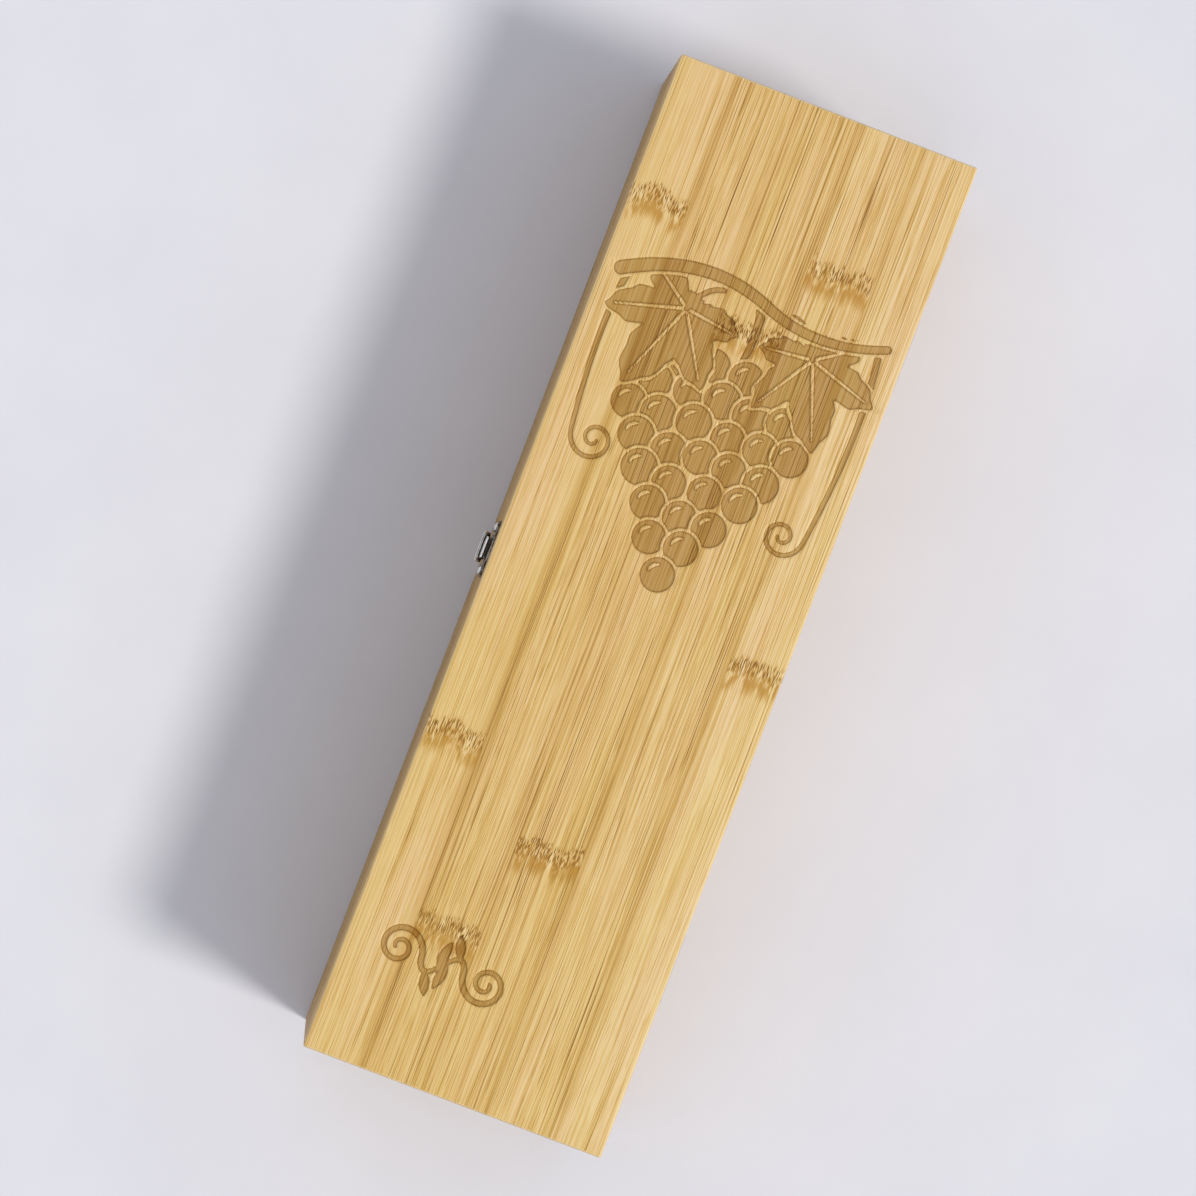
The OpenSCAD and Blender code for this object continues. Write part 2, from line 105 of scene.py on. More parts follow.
world = bpy.data.worlds.new("surround")
bpy.context.scene.world = world
world.use_nodes = True
sky, join = world.node_tree.nodes, world.node_tree.links.new
sky.clear()
direction = sky.new("ShaderNodeTexCoord")
split = sky.new("ShaderNodeSeparateXYZ")
join(direction.outputs["Generated"], split.inputs[0])


def sky_layer(stops):
    """A glow whose colour follows the height of the direction, from 0 at the horizon to 1 overhead."""
    height, glow = sky.new("ShaderNodeValToRGB"), sky.new("ShaderNodeBackground")
    elements = height.color_ramp.elements
    elements.new(0.5)
    for element, (place, colour) in zip(elements, stops):
        element.position, element.color = place, (*colour, 1)
    join(split.outputs["Z"], height.inputs[0])
    join(height.outputs["Color"], glow.inputs["Color"])
    return glow.outputs[0]


seen, shown = sky.new("ShaderNodeLightPath"), None
either, out = sky.new("ShaderNodeMixShader"), sky.new("ShaderNodeOutputWorld")
for kind in ("Is Camera Ray", "Is Glossy Ray", "Is Transmission Ray"):
    most = sky.new("ShaderNodeMath")
    most.operation = "MAXIMUM"
    most.inputs[1].default_value = 0.0
    join(seen.outputs[kind], most.inputs[0])
    if shown:
        join(shown, most.inputs[1])
    shown = most.outputs[0]
join(shown, either.inputs[0])
lighting = sky_layer([(0.0, (0.07, 0.07, 0.08)), (0.5, (0.305, 0.315, 0.345)), (1.0, (0.945, 0.98, 1.06))])
mirrored = sky_layer([(0.0, (0.74, 0.74, 0.77)), (0.4, (0.66, 0.66, 0.69)), (1.0, (0.88, 0.88, 0.90))])
join(lighting, either.inputs[1])
join(mirrored, either.inputs[2])
join(either.outputs[0], out.inputs["Surface"])
print("sun", round(math.degrees(math.asin(toward_light.normalized().z))), "degrees high")

# %% [markdown]
# Bright metal looks like whatever stands round it. Among pale walls alone it turns to grey
# paste, so in a studio black cards stand round it, and their reflections draw the dark lines
# that say metal. Here eight cards stand in a ring, with gaps of pale wall between them,
# and lean in over the box, open at the top, so that level faces catch the bright ceiling.
# They are seen in reflections only and shade nothing.

# %% Black cards
CARDS = 8
HALF_CARD = 14.0  # degrees of the ring, to each side of a card's middle
RING_LEVELS = [(1.0, 0.15), (1.0, 1.9), (0.75, 2.3)]  # the ring's radius and height, in metres
card_middles = np.arange(CARDS)[:, None] * 360 / CARDS
card_edges = np.radians((card_middles + [-HALF_CARD, HALF_CARD]).reshape(-1))
ring = np.stack([np.cos(card_edges), np.sin(card_edges)], axis=1)
count = len(ring)
levels = [np.column_stack([radius * ring, np.full(count, height)]) for radius, height in RING_LEVELS]
first_edge = np.arange(0, count, 2)
one_row = np.stack([first_edge, first_edge + 1, first_edge + count + 1, first_edge + count], axis=1)
card_faces = np.concatenate([one_row, one_row + count])
card_mesh = bpy.data.meshes.new("black_cards")
card_mesh.from_pydata(np.concatenate(levels).tolist(), [], card_faces.tolist())
black_cards = bpy.data.objects.new("black_cards", card_mesh)
bpy.context.scene.collection.objects.link(black_cards)
black_cards.visible_camera = black_cards.visible_diffuse = black_cards.visible_shadow = False
black_matt = bpy.data.materials.new("black_matt")
black_matt.use_nodes = True
black_matt.node_tree.nodes["Principled BSDF"].inputs["Base Color"].default_value = (0.015, 0.015, 0.015, 1)
card_mesh.materials.append(black_matt)
print("black cards", [round(side, 2) for side in black_cards.dimensions], "m")

# %% [markdown]
# ## Writing a finish as a recipe
#
# A procedural finish is a net of small nodes: coordinates go in, sums and noises shape them,
# and a colour, a roughness and a height come out. Laid by hand in the editor it is easy to
# see but hard to repeat, and here twelve boards want the same bamboo in different
# directions. So a small class adds one node for each call and hands back its output, and a
# finish then reads like a list of steps. Most calls add one node, and some two or three.

# %% A recipe


class Recipe:
    """A material and the steps that make its finish. Values may be numbers or other steps' outputs."""

    def __init__(self, name):
        self.material = bpy.data.materials.new(name)
        self.material.use_nodes = True
        self.nodes = self.material.node_tree.nodes
        self.nodes.clear()
        self.surface = self.nodes.new("ShaderNodeBsdfPrincipled")
        output = self.nodes.new("ShaderNodeOutputMaterial")
        self.link(self.surface.outputs[0], output.inputs["Surface"])

    def link(self, value, socket):
        if isinstance(value, bpy.types.NodeSocket):
            self.material.node_tree.links.new(value, socket)
        else:
            socket.default_value = value

    def place(self):
        """The point in millimetres, split in three, and the face's own direction, split in three."""
        here = self.nodes.new("ShaderNodeTexCoord")
        millimetres = self.nodes.new("ShaderNodeVectorMath")
        millimetres.operation = "SCALE"
        millimetres.inputs["Scale"].default_value = 1000.0
        self.link(here.outputs["Object"], millimetres.inputs[0])
        point = self.nodes.new("ShaderNodeSeparateXYZ")
        self.link(millimetres.outputs[0], point.inputs[0])
        facing = self.nodes.new("ShaderNodeSeparateXYZ")
        self.link(here.outputs["Normal"], facing.inputs[0])
        return dict(zip("XYZ", point.outputs)), dict(zip("XYZ", facing.outputs))

    def calc(self, operation, *values):
        """One Math node: ADD, MULTIPLY, MINIMUM and so on."""
        node = self.nodes.new("ShaderNodeMath")
        node.operation = operation
        for value, socket in zip(values, node.inputs):
            self.link(value, socket)
        return node.outputs[0]

    def times(self, first, second):
        return self.calc("MULTIPLY", first, second)

    def count(self, value, size):
        """value counted in steps of size."""
        return self.calc("DIVIDE", value, size)

    def plus(self, total, amount, much=1.0):
        """total + amount * much."""
        return self.calc("MULTIPLY_ADD", amount, much, total)

    def swing(self, value, amount, about=0.0):
        """about + amount * (value - 1/2): to both sides of about, as value goes from 0 to 1."""
        return self.calc("MULTIPLY_ADD", self.calc("SUBTRACT", value, 0.5), amount, about)

    def between(self, value, low, high, start=0.0, end=1.0, smooth=True):
        """start where value is low, end where it is high, and an eased slope in between."""
        node = self.nodes.new("ShaderNodeMapRange")
        node.interpolation_type = "SMOOTHSTEP" if smooth else "LINEAR"
        names = ("Value", "From Min", "From Max", "To Min", "To Max")
        for name, item in zip(names, (value, low, high, start, end)):
            self.link(item, node.inputs[name])
        return node.outputs["Result"]

    def window(self, value, rise, full, fade, gone):
        """0 below rise, 1 from full to fade, and 0 again above gone."""
        return self.times(self.between(value, rise, full), self.between(value, gone, fade))

    def spot(self, x, y, z=0.0):
        """A point from its three numbers."""
        node = self.nodes.new("ShaderNodeCombineXYZ")
        for value, socket in zip((x, y, z), node.inputs):
            self.link(value, socket)
        return node.outputs[0]

    def noise(self, x, y, z, detail=2.0, roughness=0.5):
        """Smooth noise about 0.5, with a grain of about one unit."""
        node = self.nodes.new("ShaderNodeTexNoise")
        node.inputs["Scale"].default_value = 1.0
        node.inputs["Detail"].default_value = detail
        node.inputs["Roughness"].default_value = roughness
        self.link(self.spot(x, y, z), node.inputs["Vector"])
        return node.outputs["Fac"]

    def chance(self, x, y, z):
        """Three numbers from 0 to 1 that jump at each whole step, the same on every run."""
        node = self.nodes.new("ShaderNodeTexWhiteNoise")
        node.noise_dimensions = "3D"
        self.link(self.spot(x, y, z), node.inputs["Vector"])
        three = self.nodes.new("ShaderNodeSeparateColor")
        self.link(node.outputs["Color"], three.inputs[0])
        return three.outputs

    def dots(self, x, y):
        """The distance to the nearest of many scattered points, about one unit apart."""
        node = self.nodes.new("ShaderNodeTexVoronoi")
        node.inputs["Scale"].default_value = 1.0
        self.link(self.spot(x, y), node.inputs["Vector"])
        return node.outputs["Distance"]

    def ramp(self, value, stops, steps=False):
        """The colour at value, along stops of (place, (red, green, blue))."""
        node = self.nodes.new("ShaderNodeValToRGB")
        node.color_ramp.interpolation = "CONSTANT" if steps else "LINEAR"
        elements = node.color_ramp.elements
        while len(elements) < len(stops):
            elements.new(0.5)
        for element, (place, colour) in zip(elements, sorted(stops)):
            element.position = place
            element.color = (*colour, 1.0)
        self.link(value, node.inputs[0])
        return node.outputs["Color"]

    def pick(self, value, numbers):
        """The n-th of some numbers from 0 to 1, where value is n and a half."""
        stops = [((n + 0.02) / len(numbers), (number,) * 3) for n, number in enumerate(numbers)]
        return self.ramp(self.count(value, float(len(numbers))), stops, steps=True)

    def mix(self, amount, first, second, blend="MIX"):
        """first, turning into second as amount goes from 0 to 1."""
        node = self.nodes.new("ShaderNodeMix")
        node.data_type = "RGBA"
        node.blend_type = blend
        for value, index in ((amount, 0), (first, 6), (second, 7)):
            if isinstance(value, tuple):
                value = (*value, 1.0)
            self.link(value, node.inputs[index])
        return node.outputs[2]

    def bump(self, height, metres, strength=1.0):
        """Bends the shading by a height of 0 to 1, metres deep."""
        node = self.nodes.new("ShaderNodeBump")
        node.inputs["Strength"].default_value = strength
        node.inputs["Distance"].default_value = metres
        self.link(height, node.inputs["Height"])
        self.link(node.outputs[0], self.surface.inputs["Normal"])

    def finish(self, **sockets):
        """Sets the shader's own sockets, by their names with _ for a space."""
        for name, value in sockets.items():
            socket = self.surface.inputs[name.replace("_", " ")]
            if isinstance(value, tuple):
                value = (*value, 1.0)
            self.link(value, socket)
        return self.material


def paint(node, material):
    """Gives one solid its finish. Its mesh and its place stay as they are."""
    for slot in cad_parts[node].material_slots:
        slot.material = material


print("a recipe has", len([word for word in vars(Recipe) if not word.startswith("_")]), "kinds of step")

# %% [markdown]
# ## The table
#
# Plain, pale and matt, with a breath of unevenness so that it isn't a flat fill. It reaches
# to the horizon, so that the box can be looked at from low down as well. The colour itself
# is pale, and no extra light is spent on it.

# %% Table
table_recipe = Recipe("pale_plaster")
table_at, _ = table_recipe.place()
cloud_x, cloud_y = (table_recipe.count(table_at[axis], 70.0) for axis in "XY")
cloudy = table_recipe.noise(cloud_x, cloud_y, 0.0, detail=5.0, roughness=0.6)
pale_plaster = table_recipe.finish(
    Base_Color=table_recipe.ramp(cloudy, [(0.3, (0.724, 0.719, 0.767)), (0.7, (0.758, 0.753, 0.796))]),
    Roughness=0.85,
)
HALF_TABLE = 20.0  # metres
table_corners = [(HALF_TABLE * x, HALF_TABLE * y, 0.0) for x, y in ((-1, -1), (1, -1), (1, 1), (-1, 1))]
table_mesh = bpy.data.meshes.new("table")
table_mesh.from_pydata(table_corners, [], [(0, 1, 2, 3)])
table = bpy.data.objects.new("table", table_mesh)
bpy.context.scene.collection.objects.link(table)
table_mesh.materials.append(pale_plaster)
print("table", 2 * HALF_TABLE, "m wide")

# %% [markdown]
# ## Bamboo
#
# Bamboo board is glued up from strips that were split out of the wall of the cane, about
# 22 mm wide. Looked at closely it has five layers of detail. Fine dark fibres run along it,
# about a quarter of a millimetre wide and one to eight centimetres long. Broader streaks make
# one part paler than the next. Each strip has its own tone. Golden brown bands follow some of
# the glue lines. And each strip crosses a knuckle of the cane every 20 to 30 cm, where the
# fibres break up into short, torn dashes.
#
# A picture of wood as a texture would be quicker, but it can't follow the strips of each
# board, and it slides round a corner. Noise that is stretched along the fibres can be cut
# through in any direction, as real wood can, so the edges of a board match its faces. One
# recipe takes the direction of the fibres and makes every board.
#
# Below, r is the recipe and b the board: b.a, b.w and b.t are a point's place along the
# board's fibres, across its strips and through its thickness, in millimetres.

# %% Where a board's strips and knuckles are
STRIP = 22.1  # mm, the width of one strip
REACH = 800.0  # mm, more than any place or period on a board


def strips(r, b, first, middle, seed, knuckles=None):
    """Splits board b into strips and finds each one's knuckle.

    With w across the board, strip = floor((w - first) / STRIP), and the board's two layers
    meet at its middle. Along the board a strip repeats with its own period, and
    from_knuckle = (fraction((a - place) / period + 1/2) - 1/2) * period is 0 at a knuckle.
    The results are kept on b: its layer, strip, distance to the glue line, chances, tone, how
    lined it is, and from_knuckle.
    """
    b.layer = r.calc("GREATER_THAN", b.t, middle)
    seam = r.count(r.calc("SUBTRACT", b.w, first), STRIP)
    shifted = r.plus(seam, b.layer, 0.43) if knuckles is None else seam
    b.strip = r.calc("FLOOR", shifted)
    part = r.calc("FRACT", shifted)
    b.to_glue = r.times(r.calc("MINIMUM", part, r.calc("SUBTRACT", 1.0, part)), STRIP)
    b.glue_luck = r.chance(r.calc("ROUND", seam), float(seed), 5.0)[0]
    b.luck = r.chance(b.strip, b.layer, seed)
    if knuckles is None:
        period = r.plus(190.0, b.luck[0], 110.0)
        place = r.times(b.luck[1], 300.0)
        b.paler = r.swing(b.luck[0], 0.14)
        b.lined = r.plus(0.5, b.luck[2], 0.35)
    else:
        which = r.plus(0.5, b.strip)
        places, periods, paler, lined = zip(*knuckles)
        place = r.swing(r.pick(which, [place / REACH + 0.5 for place in places]), REACH)
        period = r.times(r.pick(which, [period / REACH for period in periods]), REACH)
        b.paler = r.swing(r.pick(which, [amount + 0.5 for amount in paler]), 1.0)
        b.lined = r.pick(which, lined)
    turn = r.plus(0.5, r.count(r.calc("SUBTRACT", b.a, place), period))
    b.from_knuckle = r.swing(r.calc("FRACT", turn), period)


print("strip width", STRIP, "mm")

# %% [markdown]
# Each layer of detail becomes a number from 0 to 1, and together they slide along one ramp
# of bamboo colours, from the brown of a single fibre to pale straw. Noise alone gives soft
# streaks only. The crisp dark fibres are drawn one by one, each in a narrow slot of its own.
#
# A knuckle is a short stretch where each fibre ends and the next begins: dark and cream
# dashes lie side by side, and brown patches surround them. Its place jumps from fibre to
# fibre, and that jump is what makes it look torn.

# %% Fibres and knuckles


def fibres(r, b, length, width, detail=1.0, roughness=0.5, shift=0.0, through=False):
    """Noise that is length mm long and width mm wide along the fibres, and width mm deep if through."""
    depth = r.calc("ADD", b.own, shift)
    if through:
        depth = r.plus(depth, r.count(b.t, width))
    return r.noise(r.count(b.a, length), r.count(b.side, width), depth, detail, roughness)


def fibre_lines(r, b, spacing, width, length, shift):
    """One dark fibre in each slot of spacing mm, at its own place in it, that comes and goes over length mm.

    With u = (side + 0.8 t) / spacing, the slot is floor(u), and the line is where
    fraction(u) is within width / spacing of the slot's own chance.
    """
    slots = r.count(r.plus(b.side, b.t, 0.8), spacing)
    slot = r.calc("FLOOR", slots)
    luck = r.chance(slot, b.own, shift)
    off = r.calc("SUBTRACT", r.calc("FRACT", slots), r.plus(0.25, luck[0], 0.5))
    line = r.between(r.times(r.calc("ABSOLUTE", off), spacing), width, 0.3 * width)
    along_it = r.noise(r.plus(r.count(b.a, length), luck[1], 60.0), slot, b.own, detail=1.0)
    there = r.times(line, r.between(along_it, 0.40, 0.56))
    return r.times(there, r.calc("POWER", luck[2], 1.3))


# Where a knuckle's marks begin, are full from, are full to and end, in mm along the fibres
DARK_DASHES = (-4.0, -2.4, 0.5, 3.5)
PALE_DASHES = (-3.0, -1.5, 2.5, 5.0)
BROWN_PATCHES = (-5.0, 1.0, 4.5, 10.0)


def knuckle(r, b):
    """The dark dashes, the pale dashes and the brown patches of a knuckle, each from 0 to 1.

    All three follow torn, which is the distance from the knuckle's middle in mm, plus a
    jump of up to 3.5 mm that each fibre has for itself and a slow lean across the strip.
    """
    jump = r.noise(r.count(b.side, 0.55), b.own, 3.0, detail=1.0, roughness=0.7)
    lean = r.noise(r.count(b.side, 8.0), b.own, 8.0, detail=1.0)
    torn = r.swing(jump, 7.0, r.swing(lean, 9.0, b.from_knuckle))
    dash = fibres(r, b, r.plus(1.5, b.luck[1], 2.0), 0.38, detail=0.0)
    patch = fibres(r, b, 9.0, 1.9, detail=2.0, shift=6.0)
    dark = r.times(r.between(dash, 0.53, 0.62), r.window(torn, *DARK_DASHES))
    pale = r.times(r.between(dash, 0.47, 0.38), r.window(torn, *PALE_DASHES))
    brown = r.times(r.between(patch, 0.34, 0.54), r.window(torn, *BROWN_PATCHES))
    return dark, pale, brown


print("a knuckle is about", BROWN_PATCHES[-1] - BROWN_PATCHES[0], "mm long with its brown patches")

# %% [markdown]
# Where a board's face looks along its fibres they are cut through, and the bundles of
# fibres show as brown dots in paler pith. On the lid the laser's burn is one more layer,
# which multiplies the colour, so that the fibres still show in it, and a band just inside
# its edge is darker still: partly char, partly painted shade of the sunken wall. Rounded
# edges are paler, partly from hands and sleeves and partly as a painted highlight. The two
# layers of a board and its strips differ a little in hue as well, and a long board is more
# golden toward one end.

# %% Bamboo recipe
STRAW = [
    (0.00, (0.200, 0.080, 0.010)),
    (0.28, (0.415, 0.210, 0.030)),
    (0.55, (0.630, 0.382, 0.088)),
    (0.78, (0.735, 0.490, 0.160)),
    (1.00, (0.825, 0.615, 0.272)),
]
LINES = [  # how strong, how far apart, how wide and how long in mm, and which chance they take
    (1.0, 1.35, 0.25, 80.0, 2.0),
    (1.0, 0.90, 0.21, 50.0, 6.0),
    (0.95, 0.66, 0.19, 14.0, 9.0),
]
LID_TONE = 0.915  # the lid's place on the ramp, before its fibres darken it
PITH = [(0.0, (0.195, 0.090, 0.020)), (0.35, (0.390, 0.215, 0.058)), (0.8, (0.580, 0.375, 0.130))]
GOLDEN, ROSY = (0.990, 1.002, 1.05), (1.006, 0.988, 1.21)
GLUE_BROWN = (0.555, 0.305, 0.065)
PATCH_BROWN = (0.500, 0.245, 0.024)
DASH_BROWN = (0.270, 0.112, 0.010)
CREAM = (0.860, 0.640, 0.300)
WEAR_AND_HIGHLIGHT_PALE = (0.920, 0.740, 0.440)
BURN, CHAR_AND_SHADE_RIM = (0.655, 0.568, 0.405), (0.64, 0.56, 0.42)


def bamboo(name, along, across, through, first, middle, seed, shade=0.0, knuckles=None, burnt=False):
    """A bamboo finish whose fibres run along one axis, with its strips side by side across another.

    The strips start at first and the two layers meet at middle, both in millimetres. shade is
    how much darker than the lid the board is painted, as painted shade, and seed gives it a grain
    of its own.
    """
    r = Recipe(name)
    at, facing = r.place()
    b = SimpleNamespace(a=at[along], w=at[across], t=at[through])
    strips(r, b, first, middle, seed, knuckles)
    b.own = r.plus(r.plus(float(seed), b.layer, 3.7), b.strip, 7.3)
    b.side = r.swing(r.noise(r.count(b.a, 140.0), r.count(b.w, 20.0), b.own, detail=1.0), 2.2, b.w)

    wide = fibres(r, b, 170.0, 6.0, detail=2.0, through=True)
    streak = fibres(r, b, 190.0, 0.78, detail=2.0, roughness=0.6, shift=11.0, through=True)
    fine = fibres(r, b, 60.0, 0.36, shift=23.0, through=True)
    pores = fibres(r, b, 9.0, 0.36, detail=0.0, shift=37.0, through=True)
    veins = fibres(r, b, 75.0, 0.95, shift=51.0, through=True)
    lines = 0.0
    for much, *sizes in LINES:
        lines = r.calc("MAXIMUM", lines, r.times(fibre_lines(r, b, *sizes), much))
    hairs = r.between(fine, 0.52, 0.64)
    forks = r.between(r.calc("ABSOLUTE", r.swing(veins, 1.0)), 0.045, 0.008)
    strength = r.times(r.between(wide, 0.66, 0.36, 0.7, 1.0), b.lined)
    glue = r.between(b.to_glue, 0.26, 0.06)
    glue_band = r.times(r.between(r.swing(streak, 7.0, b.to_glue), 3.6, 0.2), r.plus(0.3, b.glue_luck, 0.7))
    dark_dash, pale_dash, brown = knuckle(r, b)

    # Boards other than the lid start lower on the ramp by shade, a painted shade.
    tone = r.swing(wide, 0.125, LID_TONE - shade)
    tone = r.swing(streak, r.times(b.lined, 0.225), tone)
    tone = r.swing(fine, r.times(b.lined, -0.42), tone)
    tone = r.plus(tone, b.paler)
    for layer, amount in (
        (r.times(lines, strength), -0.80),
        (r.times(hairs, strength), -0.44),
        (r.times(forks, strength), -0.32),
        (r.between(pores, 0.62, 0.72), -0.08),
        (glue_band, -0.18), (glue, -0.22), (dark_dash, -0.62), (pale_dash, 0.24), (brown, -0.20),
    ):
        tone = r.plus(tone, layer, amount)
    hue = r.plus(fibres(r, b, 80.0, 9.0, shift=14.0), b.a, -0.0007)
    colour = r.mix(r.times(glue_band, 0.28), r.ramp(tone, STRAW), GLUE_BROWN)
    colour = r.mix(r.times(brown, 0.80), colour, PATCH_BROWN)
    colour = r.mix(r.times(dark_dash, 0.55), colour, DASH_BROWN)
    colour = r.mix(1.0, colour, r.ramp(hue, [(0.30, GOLDEN), (0.70, ROSY)]), "MULTIPLY")
    colour = r.mix(r.times(pale_dash, 0.45), colour, CREAM)

    bundles = r.between(r.dots(r.times(b.w, 1.25), r.times(b.t, 1.5)), 0.42, 0.22)
    pith = r.times(r.noise(r.count(b.w, 6.0), r.count(b.t, 2.5), b.own), 1.15)
    is_end = r.between(r.calc("ABSOLUTE", facing[along]), 0.6, 0.8)
    colour = r.mix(is_end, colour, r.ramp(r.plus(r.plus(pith, glue, -0.3), bundles, -0.40), PITH))

    height = r.calc("SUBTRACT", 1.0, r.plus(r.times(dark_dash, 0.9), lines, 0.4))
    height = r.plus(height, pale_dash, 0.6)
    height = r.calc("SUBTRACT", height, r.times(bundles, is_end))
    shine = r.plus(r.plus(0.42, wide, 0.10), lines, 0.12)
    # Rounded edges, where the face turns off every axis, are mixed toward a pale colour: partly wear, partly
    # a painted highlight.
    x, y, z = (r.calc("ABSOLUTE", facing[axis]) for axis in "XYZ")
    squarest = r.calc("MAXIMUM", r.calc("MAXIMUM", x, y), z)
    wear_and_highlight = r.times(r.between(squarest, 0.99, 0.90), 0.42 - 1.3 * shade)
    if burnt:
        cut = r.nodes.new("ShaderNodeAttribute")
        cut.attribute_name = "cut"
        depth = cut.outputs["Fac"]
        wear_and_highlight = r.times(wear_and_highlight, r.between(depth, 1.0, 2.0))
        inside = r.between(depth, 0.10, -0.14)
        # A band just inside the burn's edge is darker: partly char, partly painted shade of the sunken wall.
        char_and_shade_rim = r.times(inside, r.between(depth, -0.8, -0.2))
        colour = r.mix(inside, colour, BURN, "MULTIPLY")
        colour = r.mix(r.times(char_and_shade_rim, 0.8), colour, CHAR_AND_SHADE_RIM, "MULTIPLY")
        shine = r.plus(shine, inside, 0.22)
    r.bump(height, 0.00012, 0.55)
    return r.finish(Base_Color=r.mix(wear_and_highlight, colour, WEAR_AND_HIGHLIGHT_PALE), Roughness=shine, Specular_IOR_Level=0.28)


print("bamboo colours:", len(STRAW), "from a fibre's brown to straw")

# %% [markdown]
# The lid is one board of five strips, and their knuckles sit where this lid has them. Every
# other board takes its own by chance, from a seed, so that no two boards match.

# %% A finish for each board
# Strip by strip from the clasp's side: where a knuckle is and how far it is to the next, in
# mm, how much paler the strip is, and how lined
LID_KNUCKLES = [
    (-127.0, 188.0, 0.0, 0.45), (122.0, 330.0, -0.04, 0.62), (-97.0, 184.0, -0.05, 0.64),
    (-126.0, 330.0, 0.015, 0.72), (7.0, 330.0, 0.07, 0.56),
]
BOARDS = {  # the axes along the fibres, across the strips and through, and where the strips start
    "bottom_panel": ("X", "Y", "Z", -49.0),
    "front_wall": ("X", "Z", "Y", -4.0),
    "rear_wall": ("X", "Z", "Y", 2.0),
    "neck_end_wall": ("Y", "Z", "X", -6.0),
    "base_end_wall": ("Y", "Z", "X", 1.0),
    "neck_cradle": ("Y", "Z", "X", 4.0),
    "body_cradle": ("Y", "Z", "X", -3.0),
    "lid_front_rail": ("X", "Z", "Y", 76.0),
    "lid_rear_rail": ("X", "Z", "Y", 74.0),
    "lid_neck_end_rail": ("Y", "Z", "X", 77.0),
    "lid_base_end_rail": ("Y", "Z", "X", 75.0),
}
# The boards other than the lid are painted darker than it by this much, as painted shade.
BOARD_PAINTED_SHADE = 0.22  # how much darker than the lid the other boards are
for number, (board, (along, across, through, first)) in enumerate(BOARDS.items()):
    low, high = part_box(board)
    middle = 500.0 * (low + high)["XYZ".index(through)]
    seed = 20 + 13 * number
    paint(board, bamboo("bamboo_" + board, along, across, through, first, middle, seed, BOARD_PAINTED_SHADE))
lid_bamboo = bamboo(
    "bamboo_lid_top", "X", "Y", "Z", first=-54.5, middle=98.0, seed=7, knuckles=LID_KNUCKLES, burnt=True)
paint("lid_panel", lid_bamboo)
print("bamboo on", len(BOARDS) + 1, "boards")

# %% [markdown]
# ## The sunken ornament
#
# A laser burns the lid's ornament about half a millimetre into the bamboo and browns it, and
# the fibres still show through. Here it is a vine branch: a bunch of grapes, two leaves and
# curling tendrils, with a small scroll near the foot.
#
# It could be cut with a Boolean, which leaves long thin faces, or only painted, which casts
# no shadow. This lid is instead one height map. Every outline is written as a distance, in
# millimetres, that is below zero inside the burnt area. The smallest of several distances
# joins shapes, and the largest of one and the opposite of another cuts a shape out. The
# distance sinks the surface, and is kept on the mesh as the attribute "cut", so the edge of
# the brown is as sharp as the formula and not as coarse as the grid.

# %% Outlines as distances


def disc(right, down, at, radius):
    """The distance from a point to a circle: how far it is from the middle, less the radius."""
    return np.hypot(right - at[0], down - at[1]) - radius


def stroke(right, down, path, half_width):
    """The distance to a brush stroke: the least, over its points, of distance less half width."""
    least = np.full(right.shape, 1e9)
    for (x, y), half in zip(path, np.broadcast_to(half_width, len(path))):
        np.minimum(least, np.hypot(right - x, down - y) - half, out=least)
    return least


def bow(start, middle, end, count=60):
    """A bent line: (1-t)^2 start + 2t(1-t) middle + t^2 end, for t from 0 to 1."""
    t = np.linspace(0, 1, count)[:, None]
    return (1 - t) ** 2 * np.array(start) + 2 * t * (1 - t) * np.array(middle) + t ** 2 * np.array(end)


def curl(at, start_radius, end_radius, start_angle, sweep, count=110):
    """A spiral: the radius shrinks evenly while the angle sweeps round."""
    t = np.linspace(0, 1, count)
    radius = start_radius + (end_radius - start_radius) * t ** 0.8
    angle = np.radians(start_angle + sweep * t)
    return np.stack([at[0] + radius * np.cos(angle), at[1] + radius * np.sin(angle)], axis=1)


def lobe(right, down, root, angle, length, width):
    """A pointed oval from root: where two circles of radius (length^2 + width^2) / (4 width) overlap."""
    ca, sa = math.cos(math.radians(angle)), math.sin(math.radians(angle))
    along = (right - root[0]) * ca + (down - root[1]) * sa - length / 2
    across = np.abs((down - root[1]) * ca - (right - root[0]) * sa)
    radius = (length ** 2 / 4 + width ** 2 / 4) / width
    return np.hypot(along, across + radius - width / 2) - radius


def vine_leaf(right, down, root, angle, size):
    """Five pointed lobes about the end of the stalk, with toothed edges, and veins left uncut."""
    # The turn, length and width of each lobe
    lobes = [(0, 1.0, 0.50), (52, 0.84, 0.42), (-52, 0.84, 0.42), (104, 0.60, 0.36), (-104, 0.60, 0.36)]
    whole = disc(right, down, root, 0.20 * size)
    veins = np.full(right.shape, 1e9)
    for turn, length, width in lobes:
        whole = np.minimum(whole, lobe(right, down, root, angle + turn, length * size, width * size))
        ca, sa = math.cos(math.radians(angle + turn)), math.sin(math.radians(angle + turn))
        reach = np.linspace(0.02, 0.86, 60)[:, None] * length * size
        path = np.array(root) + reach * np.array([ca, sa])
        veins = np.minimum(veins, stroke(right, down, path, np.linspace(0.55, 0.22, 60)))
    round_it = np.arctan2(down - root[1], right - root[0])
    teeth = 0.8 * np.abs(((round_it * 14 / np.pi) % 1.0) - 0.5) * 2
    return np.maximum(whole + teeth, -veins)


print("outlines: disc, stroke, lobe and leaf")

# %% [markdown]
# The bunch is packed as real grapes are, each row nested half a grape along in the one above,
# and narrows to one. A small crescent of bare wood is left on each grape as its shine.

# %% The ornament
SHADOW_GAP = 0.8  # mm of bare wood left round whatever lies in front


